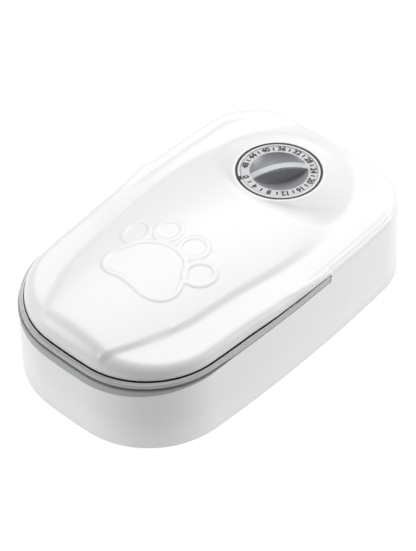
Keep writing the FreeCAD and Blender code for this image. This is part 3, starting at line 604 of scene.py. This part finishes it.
def lidInset(point, normal):
    # the lid stands in from the rim at the nose and comes out flush behind the strip
    if normal.y > 0.5:
        return lid["flushInset"] + lid["tailInset"] * easeStep(-abs(point.x), *lid["tailSpan"])
    return lid["noseInset"] - sum(drop * easeStep(point.y, *span) for drop, *span in lid["insetSteps"])


seal = {
    "face": 0.35,          # the outer face stands in by this
    "noseTuck": 0.35,      # and by this much more at the nose
    "tuckSpan": (20.0, 90.0),
    "back": 4.9,
    "shoulder": 0.25,
    "grooveInset": 1.7,    # the groove under the soft strip, only round the nose
    "grooveHeight": 0.8,
    "grooveSpan": (40.0, 75.0),
    "lineWidth": 0.75,     # the painted shadow at the lid's foot: a black band where the seam only has shade
    "lineFade": (0.95, -30.0, 18.0),  # it thins by this between these two y
    "lineHidden": 0.7,
    "lipWidth": 1.1,       # a thin raised lip just outside the painted shadow line; its lighter grey is painted highlight
    "lipShows": 0.6,
    "crossBar": (-69.2, 69.2, 5.0),   # the bar behind the food: from x, to x, depth
}


def sealFace(extra=0.0):
    inset, tuck, span = extra + seal["face"], seal["noseTuck"], seal["tuckSpan"]
    return lambda point, normal: inset + tuck * easeStep(-point.y, *span)


# outer edge of the black band that is painted shadow in the seam
def lineEdge(point, normal):
    thins, *span = seal["lineFade"]
    return lidInset(point, normal) - seal["lineWidth"] + thins * easeStep(point.y, *span)


def lipEdge(back):
    return lambda point, normal: lineEdge(point, normal) - seal["lipShows"] + back


def sealRise(drop):
    # the strip climbs a little where the lid comes out flush with the tub
    return lambda point: sealHigh.z - drop + lid["edgeRise"] * easeStep(point.y, *lid["flushSpan"])


def grooveTop(extra=0.0):
    height, span = seal["grooveHeight"], seal["grooveSpan"]
    return lambda point: sealLow.z + 0.1 + extra + height * easeStep(-point.y, *span)


def makeSeal():
    low, back = sealLow.z, seal["back"]
    shape = outlineSweep([
        (seal["grooveInset"], low),
        (seal["grooveInset"], grooveTop()),
        (sealFace(), grooveTop(0.15)),
        (sealFace(), sealRise(0.5)),
        (sealFace(seal["shoulder"]), sealRise(0.15)),
        (back - 0.6, sealRise(0.15)),
        (back, sealRise(0.5)),
        (back, low),
    ], close=True)
    clipAt(shape, sealHigh.y)
    left, right, depth = seal["crossBar"]
    addBlock(shape, (left, sealHigh.y - depth, low), (right, sealHigh.y - 0.2, sealHigh.z - 0.2), 0.4)
    bakePiece(shape, "rim_gasket", "base", finishes["seal_grey"], ("rim_seal",))


def makeLipAndLine():
    width = seal["lipWidth"]
    lip = outlineSweep([
        (lipEdge(0), sealRise(0.6)),
        (lipEdge(0), sealRise(0.08)),
        (lipEdge(0.1), sealRise(0)),
        (lipEdge(width), sealRise(0)),
        (lipEdge(width), sealRise(0.6)),
    ], close=True)
    clipAt(lip, 0)
    # the lip is a lighter grey than the seal: painted highlight
    bakePiece(lip, "gasket_lip_painted_highlight", "base", lipHighlightGrey)

    # the black band below is painted shadow: it fills the seam at the lid's foot, where there is only shade
    def hiddenEdge(point, normal):
        return lidInset(point, normal) + seal["lineHidden"]

    line = outlineSweep([
        (lineEdge, sealRise(0.3)), (lineEdge, sealRise(-0.04)),
        (hiddenEdge, sealRise(-0.04)), (hiddenEdge, sealRise(0.3)),
    ], close=True)
    clipAt(line, sealHigh.y - 4)
    bakePiece(line, "lid_seam_painted_shadow", "base", finishes["case_black"])


bowl = {
    "sheet": 1.8,
    "lip": (5.3, 5.8, 8.2, 9.0),   # insets of the rolled lip, from outside to inside
    "wallInset": 7.2,
    "footInset": 10.0,
    "backHalf": 66.5,
}


def makeBowl():
    top, low, sheet = bowlHigh.z, bowlLow.z, bowl["sheet"]
    outer, crest, crestIn, inner = bowl["lip"]
    wall, foot = bowl["wallInset"], bowl["footInset"]
    shape = outlineSweep([
        (foot + 4, low),
        (foot, low),
        (wall + 0.4, low + 2.2),
        (wall, top - 2.4),
        (crest, top - 1.6),
        (outer, top - 0.8),
        (crest, top),
        (crestIn, top),
        (inner, top - 0.9),
        (inner, low + 6),
        (foot + 1.5, low + 2.6),
        (foot + 8, low + sheet),
        (foot + 20, low + sheet),
    ], capFirst=True, capLast=True)
    clipAt(shape, bowlHigh.y)
    half = bowl["backHalf"]
    addBlock(shape, (-half, bowlHigh.y - sheet, low + 1), (half, bowlHigh.y, top), 0.4)
    bakePiece(shape, "bowl", "base", finishes["bowl_plastic"], ("food_bowl",))


makeTray()
makeLipAndLine()
makeSeal()
makeBowl()
print("food compartment made")


def smoothMax(a, b, width):
    blend = np.clip(0.5 + 0.5 * (a - b) / width, 0, 1)
    return b + (a - b) * blend + width * blend * (1 - blend) * 0.5


def smoothBlend(value, low, high):
    part = np.clip((value - low) / (high - low), 0, 1)
    return part * part * (3 - 2 * part)


def closedCurve(points, count=240):
    # a smooth closed curve through the given points
    points = np.array(points)
    spots = np.arange(count) * len(points) / count
    start = spots.astype(int)
    t = (spots - start)[:, None]
    p0, p1, p2, p3 = (points[(start + k) % len(points)] for k in (-1, 0, 1, 2))
    return 0.5 * (2 * p1 + (p2 - p0) * t + (2 * p0 - 5 * p1 + 4 * p2 - p3) * t ** 2
                  + (3 * p1 - p0 - 3 * p2 + p3) * t ** 3)


def toeCurve(x, y, halfWidth, halfLength, lean, count=120):
    turn = np.linspace(0, 2 * np.pi, count, endpoint=False)
    lean = math.radians(lean)
    across, along = halfWidth * np.cos(turn), halfLength * np.sin(turn)
    return np.stack([
        x + across * math.cos(lean) - along * math.sin(lean),
        y + across * math.sin(lean) + along * math.cos(lean),
    ], 1)


def pawRelief(x, y):
    # a soft raised line along the pad and the four toes
    relief = np.zeros_like(x)
    near = (np.abs(x) < 42) & (y < -2) & (y > -72)
    spots = np.stack([x[near], y[near]], 1)
    for curve in [closedCurve(padLine)] + [toeCurve(*toe) for toe in toes]:
        ahead = np.roll(curve, -1, 0) - curve
        best = np.full(len(spots), np.inf)
        for start, way in zip(curve, ahead):
            along = np.clip(((spots - start) @ way) / (way @ way), 0, 1)
            best = np.minimum(best, np.linalg.norm(spots - start - along[:, None] * way, axis=1))
        line = 1 - smoothBlend(best, lid["pawWidth"] - 0.9, lid["pawWidth"] + 0.5)
        relief[near] = np.maximum(relief[near], line)
    return relief * lid["pawHeight"]


def dialPlane(y):
    # level of the tilted dial face above a plan point
    return dial.z - (y - dial.y) * dialUp.y / dialUp.z


def lidHeight(x, y):
    # height of the lid's skin at plan points, before its sides are rounded
    centre = lid["crownTop"] - (y - lid["crownY"]) ** 2 / (2 * lid["crownLong"])
    crease = np.interp(y, creaseLine[:, 0], creaseLine[:, 1])
    away = np.abs(x) - crease
    across = 2 * lid["crownAcross"]
    atNose, atTail = lid["creaseSpread"]
    spread = atNose + (atTail - atNose) * smoothBlend(y, -20, 40)
    drop = lid["creaseStep"] * smoothBlend(away, -spread, spread)
    plateau = centre - x ** 2 / across - drop
    shelf = centre - crease ** 2 / across - drop - lid["shelfSlope"] * np.maximum(away, 0)
    low = np.interp(y, shelfLine[:, 0], shelfLine[:, 1])
    return smoothMax(np.where(away < 0, plateau, shelf), np.minimum(low, centre - 0.6), 3.0)


def lidSkin(x, y, depth, roundness):
    # depth is how far each point lies inside the edge
    inside = np.clip(roundness - depth, 0, None)
    top = lidHeight(x, y) - roundness + np.sqrt(np.maximum(roundness ** 2 - inside ** 2, 0))
    valley = smoothBlend(y, 0, 30) * (1 - smoothBlend(y, 88, 104))
    valley = valley * np.exp(-((depth - lid["valleyInset"]) / lid["valleyWidth"]) ** 2)
    top = top - lid["valleyDepth"] * valley
    away = np.hypot(x, y - dial.y)
    collar = dialPlane(y) + lid["collarLip"] - lid["collarSlope"] * np.maximum(away - lid["collarFlat"], 0)
    collar = collar - 0.35 * (1 - smoothBlend(away, lid["bore"], lid["bore"] + 0.7))
    top = np.where(away < lid["collarReach"], smoothMax(collar, top, 2.2), top)
    return top + pawRelief(x, y)


def lidEdgeLevel(point):
    if point.y > tub["stripEnd"]:
        return lid["edgeTail"] + lid["tailLift"] * easeStep(point.y, 106, 114)
    return lid["edgeNose"] + lid["edgeRise"] * easeStep(point.y, *lid["flushSpan"])


def fromDial(place):
    return math.hypot(place.x, place.y - dial.y)


def splitNear(shape, test):
    # a finer mesh where the skin has fine relief
    chosen = [edge for edge in shape.edges if test((edge.verts[0].co + edge.verts[1].co) / 2)]
    bmesh.ops.subdivide_edges(shape, edges=chosen, cuts=1, use_grid_fill=True)


def flatLid(shape, edgePoints):
    # rings that shrink towards a pole, with a finer mesh at the paw and the dial
    pole = Vector((0, lid["poleY"]))
    layer = shape.verts.layers.int.new("sample")
    depthLayer = shape.verts.layers.float.new("share")
    sideSteps = [0, 0.04, 0.16, 0.36, 0.64, 1.0, 1.45, 2.0, 2.6, 3.3, 4.1, 5.0, 6.0, 7.1, 8.3, 9.6]
    sideSteps += [11.0, 12.6, 14.4] + [16.4 + lid["ringStep"] * count for count in range(32)]

    def placeShare(verts, share):
        for vert in verts:
            point, normal = edgePoints[vert[layer]]
            place = pole + (point - pole) * share
            vert.co = (place.x, place.y, 0)
            vert[depthLayer] = (1 - share) * (point - pole).dot(normal)

    ring = bmesh.ops.create_circle(shape, segments=tub["samples"], radius=1)["verts"]
    for index, vert in enumerate(ring):
        vert[layer] = index
    edges = edgesOf(ring)
    placeShare(ring, 1.0)
    for step in sideSteps[1:]:
        share = 1 - step / tub["halfWidth"]
        made = bmesh.ops.extrude_edge_only(shape, edges=edges)["geom"]
        placeShare(newVerts(made), share)
        edges = newEdges(made)
    bmesh.ops.contextual_create(shape, geom=edges)
    splitNear(shape, lambda p: abs(p.x) < 41 and -71 < p.y < -1)
    splitNear(shape, lambda p: abs(p.x) < 40 and -70 < p.y < -2)
    splitNear(shape, lambda p: 24 < fromDial(p) < 40)
    splitNear(shape, lambda p: 25.5 < fromDial(p) < 31)
    return layer, depthLayer


def openBore(shape):
    bore = lid["bore"]
    gone = [face for face in shape.faces if fromDial(face.calc_center_median()) < bore]
    bmesh.ops.delete(shape, geom=gone, context="FACES")
    for vert in shape.verts:
        if vert.is_boundary and fromDial(vert.co) < bore + 2:
            share = bore / fromDial(vert.co)
            vert.co.x, vert.co.y = vert.co.x * share, dial.y + (vert.co.y - dial.y) * share


def raiseSkin(shape, edgePoints, layer, depthLayer):
    verts = shape.verts[:]
    x = np.array([vert.co.x for vert in verts])
    y = np.array([vert.co.y for vert in verts])
    depth = np.array([vert[depthLayer] for vert in verts])
    edgeX = np.array([edgePoints[vert[layer]][0].x for vert in verts])
    edgeY = np.array([edgePoints[vert[layer]][0].y for vert in verts])
    edgeLevel = np.array([lidEdgeLevel(edgePoints[vert[layer]][0]) for vert in verts])
    rise = lidHeight(edgeX, edgeY) - edgeLevel
    roundness = np.clip(rise - lid["footWall"], 0.8, lid["sideRound"])
    for vert, level in zip(verts, lidSkin(x, y, depth, roundness)):
        vert.co.z = level


def makeLid():
    edgePoints = [(point - normal * lidInset(point, normal), normal) for point, normal in path]
    shape = bmesh.new()
    layer, depthLayer = flatLid(shape, edgePoints)
    openBore(shape)
    raiseSkin(shape, edgePoints, layer, depthLayer)

    # side wall down to the seam, then the bore wall down to the timer
    nearBore = lid["bore"] + 2
    boundary = [edge for edge in shape.edges if edge.is_boundary]
    boreEdges = [edge for edge in boundary if fromDial(edge.verts[0].co) < nearBore]
    wallEdges = [edge for edge in boundary if fromDial(edge.verts[0].co) > nearBore]
    for inset, lift in ((0.0, 0.3), (0.05, 0.06), (0.3, 0.0)):
        made = bmesh.ops.extrude_edge_only(shape, edges=wallEdges)["geom"]
        for vert in newVerts(made):
            point, normal = edgePoints[vert[layer]]
            place = point - normal * inset
            vert.co = (place.x, place.y, lidEdgeLevel(point) + lift)
        wallEdges = newEdges(made)
    made = bmesh.ops.extrude_edge_only(shape, edges=boreEdges)["geom"]
    for vert in newVerts(made):
        vert.co.z = dialPlane(vert.co.y) - lid["boreDepth"]

    white = finishes["shell_white"]
    piece = bakePiece(shape, "lid_cover", "lid", white, ("lid_shell",), 50, openShell=True)
    solid = piece.modifiers.new("thickness", "SOLIDIFY")
    solid.thickness = lid["skin"] * mm
    solid.offset = -1
    knuckles = bmesh.new()
    addKnuckles(knuckles, hingeKnuckle["lidStarts"], lid["edgeTail"] + 3.2)
    bakePiece(knuckles, "lid_knuckles", "lid", white)


makeLid()
print("lid made")


knob = {
    "radius": 23.7,
    "rimRounds": (23.55, 23.2, 22.0, 20.0, 18.6, 18.15, 17.9, 17.5, 17.0, 16.3),  # rings of the face's mesh
    "scoop": 18.0,         # radius of the finger scoops
    "scoopDepth": 7.2,
    "barHalf": 2.6,        # half width of the finger bar
    "barRise": 4.2,
    "skirt": 2.4,
    "hubRadius": 19.6,
    "hubDepth": 9.6,
    "hours": 48,
    "sweep": 330.0,        # degrees of scale
    "indexAngle": 239.0,   # where the fixed index stands
    "numberEvery": 4,
    "markEvery": 2,
    "markRadius": 20.9,
    "markSize": (1.0, 2.8),
    "numberSize": 5.2,
    "numberBold": 0.24,
}


def knobHeight(place):
    # the face is flat outside the scoops, and an arched bar is left between them
    radius, across = math.hypot(place.x, place.y), abs(place.y)
    scoop, half = knob["scoop"], knob["barHalf"]
    if radius >= scoop:
        return -0.35 * max(0.0, radius - 23.3) / 0.4
    floor = -knob["scoopDepth"] * (1 - (radius / scoop) ** 2) ** 0.75
    arch = knob["barRise"] * (1 - (place.x / scoop) ** 2)
    crownDrop = 0.25 * min(1.0, (across / half) ** 2)
    onBar = 1 - easeStep(across, half - 0.35, half + 0.9)
    return floor + (arch - crownDrop - floor) * onBar


def makeKnob():
    shape = bmesh.new()
    ring = bmesh.ops.create_circle(shape, segments=192, radius=knob["radius"])["verts"]
    edges = edgesOf(ring)
    skirt = edges
    for radius in [*knob["rimRounds"], *(15.5 - 0.62 * count for count in range(25))]:
        made = bmesh.ops.extrude_edge_only(shape, edges=edges)["geom"]
        for vert in newVerts(made):
            flat = vert.co.xy.normalized() * radius
            vert.co = (flat.x, flat.y, 0)
        edges = newEdges(made)
    bmesh.ops.contextual_create(shape, geom=edges)
    edges = [edge for edge in shape.edges if (edge.verts[0].co + edge.verts[1].co).length / 2 < 17.8]
    bmesh.ops.subdivide_edges(shape, edges=edges, cuts=1, use_grid_fill=True)
    for vert in shape.verts:
        vert.co.z = knobHeight(vert.co)
    for face in shape.faces:
        centre = face.calc_center_median()
        if centre.xy.length < knob["scoop"] and abs(centre.y) > knob["barHalf"] - 0.1:
            face.material_index = 1  # the scoops and the bar's sides get a darker grey: painted shade in the recesses

    # down the skirt, in under the face and down the hub
    hubShare = knob["hubRadius"] / knob["radius"]
    edges = skirt
    for share, level in ((1.0, -knob["skirt"]), (hubShare, -knob["skirt"]), (1.0, -knob["hubDepth"])):
        made = bmesh.ops.extrude_edge_only(shape, edges=edges)["geom"]
        for vert in newVerts(made):
            vert.co = (vert.co.x * share, vert.co.y * share, level)
        edges = newEdges(made)
    bmesh.ops.contextual_create(shape, geom=edges)
    turn = Matrix.Rotation(math.radians(knob["indexAngle"] - 180), 4, "Z")
    bmesh.ops.transform(shape, verts=shape.verts[:], matrix=dialPlace @ turn)
    piece = bakePiece(shape, "dial_knob", "dial", finishes["dial_grey"], ("timer_knob",), 40)
    # second slot: the darker scoop grey, painted shade
    piece.data.materials.append(scoopShadeGrey)


def printMark(width, height, radius, angle, thick=0.06, lift=0.0):
    # a small printed bar, centred on a radius of the dial
    shape = bmesh.new()
    addBlock(shape, (-width / 2, radius - height / 2, lift), (width / 2, radius + height / 2, lift + thick))
    bmesh.ops.rotate(shape, verts=shape.verts[:], matrix=Matrix.Rotation(math.radians(angle - 90), 3, "Z"))
    return shape


def numberShape(text):
    curve = bpy.data.curves.new("number", "FONT")
    curve.body = text
    curve.size = knob["numberSize"]
    curve.align_x = "CENTER"
    curve.align_y = "CENTER"
    curve.extrude = 0.03
    curve.offset = knob["numberBold"]
    curve.resolution_u = 4
    holder = bpy.data.objects.new("number", curve)
    bpy.context.scene.collection.objects.link(holder)
    bpy.context.view_layer.update()
    mesh = bpy.data.meshes.new_from_object(holder.evaluated_get(bpy.context.evaluated_depsgraph_get()))
    bpy.data.objects.remove(holder)
    shape = bmesh.new()
    shape.from_mesh(mesh)
    bpy.data.meshes.remove(mesh)
    return shape


def makeScale():
    shape = bmesh.new()
    perHour = knob["sweep"] / knob["hours"]
    for hour in range(0, knob["hours"] + 1, knob["markEvery"]):
        angle = knob["indexAngle"] + hour * perHour
        if hour % knob["numberEvery"]:
            joinInto(shape, printMark(*knob["markSize"], knob["markRadius"], angle))
            continue
        number = numberShape(str(hour))
        turn = Matrix.Rotation(math.radians(angle - 90), 4, "Z")
        place = turn @ Matrix.Translation((0, knob["markRadius"], 0.03))
        bmesh.ops.transform(number, verts=number.verts[:], matrix=place)
        joinInto(shape, number)
    bmesh.ops.transform(shape, verts=shape.verts[:], matrix=dialPlace)
    bakePiece(shape, "dial_numbers", "dial", ink, smoothAngle=20)


indexRing = {
    "bore": 23.95,
    "outer": 25.3,
    "flange": 27.2,
    "top": 0.2,
    "flangeTop": -3.1,
    "bottom": -4.9,
    "gap": (25.35, 26.78),     # a black ring in the gap outside the index ring: painted shadow
    "markSize": (3.3, 2.9),
    "markRadius": 25.3,
}


def makeIndexRing():
    bore, outer, top = (indexRing[key] for key in ("bore", "outer", "top"))
    flange, flangeTop, bottom = (indexRing[key] for key in ("flange", "flangeTop", "bottom"))
    ring = bmesh.new()
    addTurned(ring, [
        (bore, bottom), (bore, -0.15), (bore + 0.2, top), (outer - 0.3, top), (outer, -0.1),
        (outer, flangeTop), (flange, flangeTop), (flange, bottom),
    ], 192, close=True)
    gapInner, gapOuter = indexRing["gap"]
    # the gap is filled with a black ring: painted shadow in the gap round the index ring
    gap = bmesh.new()
    addTurned(gap, [(gapInner, -3.0), (gapInner, 0.0), (gapOuter, 0.0), (gapOuter, -3.0)], 192, close=True)
    mark = printMark(*indexRing["markSize"], indexRing["markRadius"], knob["indexAngle"], 0.5, -0.15)
    for shape in (ring, gap, mark):
        bmesh.ops.transform(shape, verts=shape.verts[:], matrix=dialPlace)
    bakePiece(ring, "index_band", "lid", finishes["index_cream"], ("index_ring",), 40)
    bakePiece(gap, "dial_gap_painted_shadow", "lid", finishes["case_black"], smoothAngle=40)
    bakePiece(mark, "index_mark", "lid", ink, smoothAngle=20)


makeKnob()
makeScale()
makeIndexRing()
print("dial made")


studio = {
    "floorHalf": 4.0,
    "floorGlow": 0.99,
    "worldGlow": 0.03,
    "lamps": {             # place, what it aims at, width and height, watts
        "topSoftbox": ((-0.45, 0.62, 1.42), (0, 0, 0), 1.6, 28),
        "leftSoftbox": ((-0.95, -1.1, 0.6), (0, 0, 0.03), 0.9, 12),
        "rightSoftbox": ((1.05, 1.05, 0.6), (0, 0, 0.03), 0.9, 15),
    },
    "azimuth": 43.69,
    "elevation": 45.08,
    "roll": -1.78,
    "distance": 1.3774,
    "focalPixels": 2275.0,
    "target": (0.0, 0.0, 0.030),
    "targetPixel": (205.1, 275.2),
    "frameSize": (416, 551),
    "sensor": 36.0,
}


def makeFloor():
    shape = bmesh.new()
    bmesh.ops.create_grid(shape, x_segments=2, y_segments=2, size=studio["floorHalf"])
    mesh = bpy.data.meshes.new("floor")
    shape.to_mesh(mesh)
    shape.free()
    floor = bpy.data.objects.new("floor", mesh)
    bpy.context.scene.collection.objects.link(floor)
    paper = Finish("paleFloor")
    paper.set(Base_Color=tone(0.03, 0.03, 0.03), Roughness=0.9)
    paper.set(Emission_Color=tone(1, 1, 1), Emission_Strength=studio["floorGlow"])
    mesh.materials.append(paper.material)


def addLamp(name, place, aim, side, watts):
    lamp = bpy.data.lights.new(name, "AREA")
    lamp.shape = "SQUARE"
    lamp.size = side
    lamp.energy = watts
    holder = bpy.data.objects.new(name, lamp)
    holder.location = place
    holder.rotation_mode = "QUATERNION"
    holder.rotation_quaternion = (Vector(aim) - Vector(place)).to_track_quat("-Z", "Y")
    bpy.context.scene.collection.objects.link(holder)


def makeCamera():
    azimuth, elevation = math.radians(studio["azimuth"]), math.radians(studio["elevation"])
    level = math.cos(elevation)
    back = Vector((math.sin(azimuth) * level, -math.cos(azimuth) * level, math.sin(elevation)))
    width, height = studio["frameSize"]
    camera = bpy.data.cameras.new("camera")
    camera.sensor_fit = "HORIZONTAL"
    camera.sensor_width = studio["sensor"]
    camera.lens = studio["focalPixels"] * studio["sensor"] / width
    camera.shift_x = (width / 2 - studio["targetPixel"][0]) / width
    camera.shift_y = (studio["targetPixel"][1] - height / 2) / width
    camera.clip_start, camera.clip_end = 0.05, 20
    holder = bpy.data.objects.new("camera", camera)
    holder.location = Vector(studio["target"]) + back * studio["distance"]
    holder.rotation_mode = "QUATERNION"
    look = (-back).to_track_quat("-Z", "Y")
    holder.rotation_quaternion = look @ Quaternion((0, 0, 1), math.radians(studio["roll"]))
    bpy.context.scene.collection.objects.link(holder)
    bpy.context.scene.camera = holder


def makeWorld():
    world = bpy.data.worlds.new("studio")
    world.use_nodes = True
    background = world.node_tree.nodes["Background"].inputs
    background["Color"].default_value = tone(1, 1, 1)
    background["Strength"].default_value = studio["worldGlow"]
    bpy.context.scene.world = world
    bpy.context.scene.view_settings.view_transform = "Standard"


makeFloor()
makeWorld()
for name, lampSettings in studio["lamps"].items():
    addLamp(name, *lampSettings)
makeCamera()
print("studio ready")
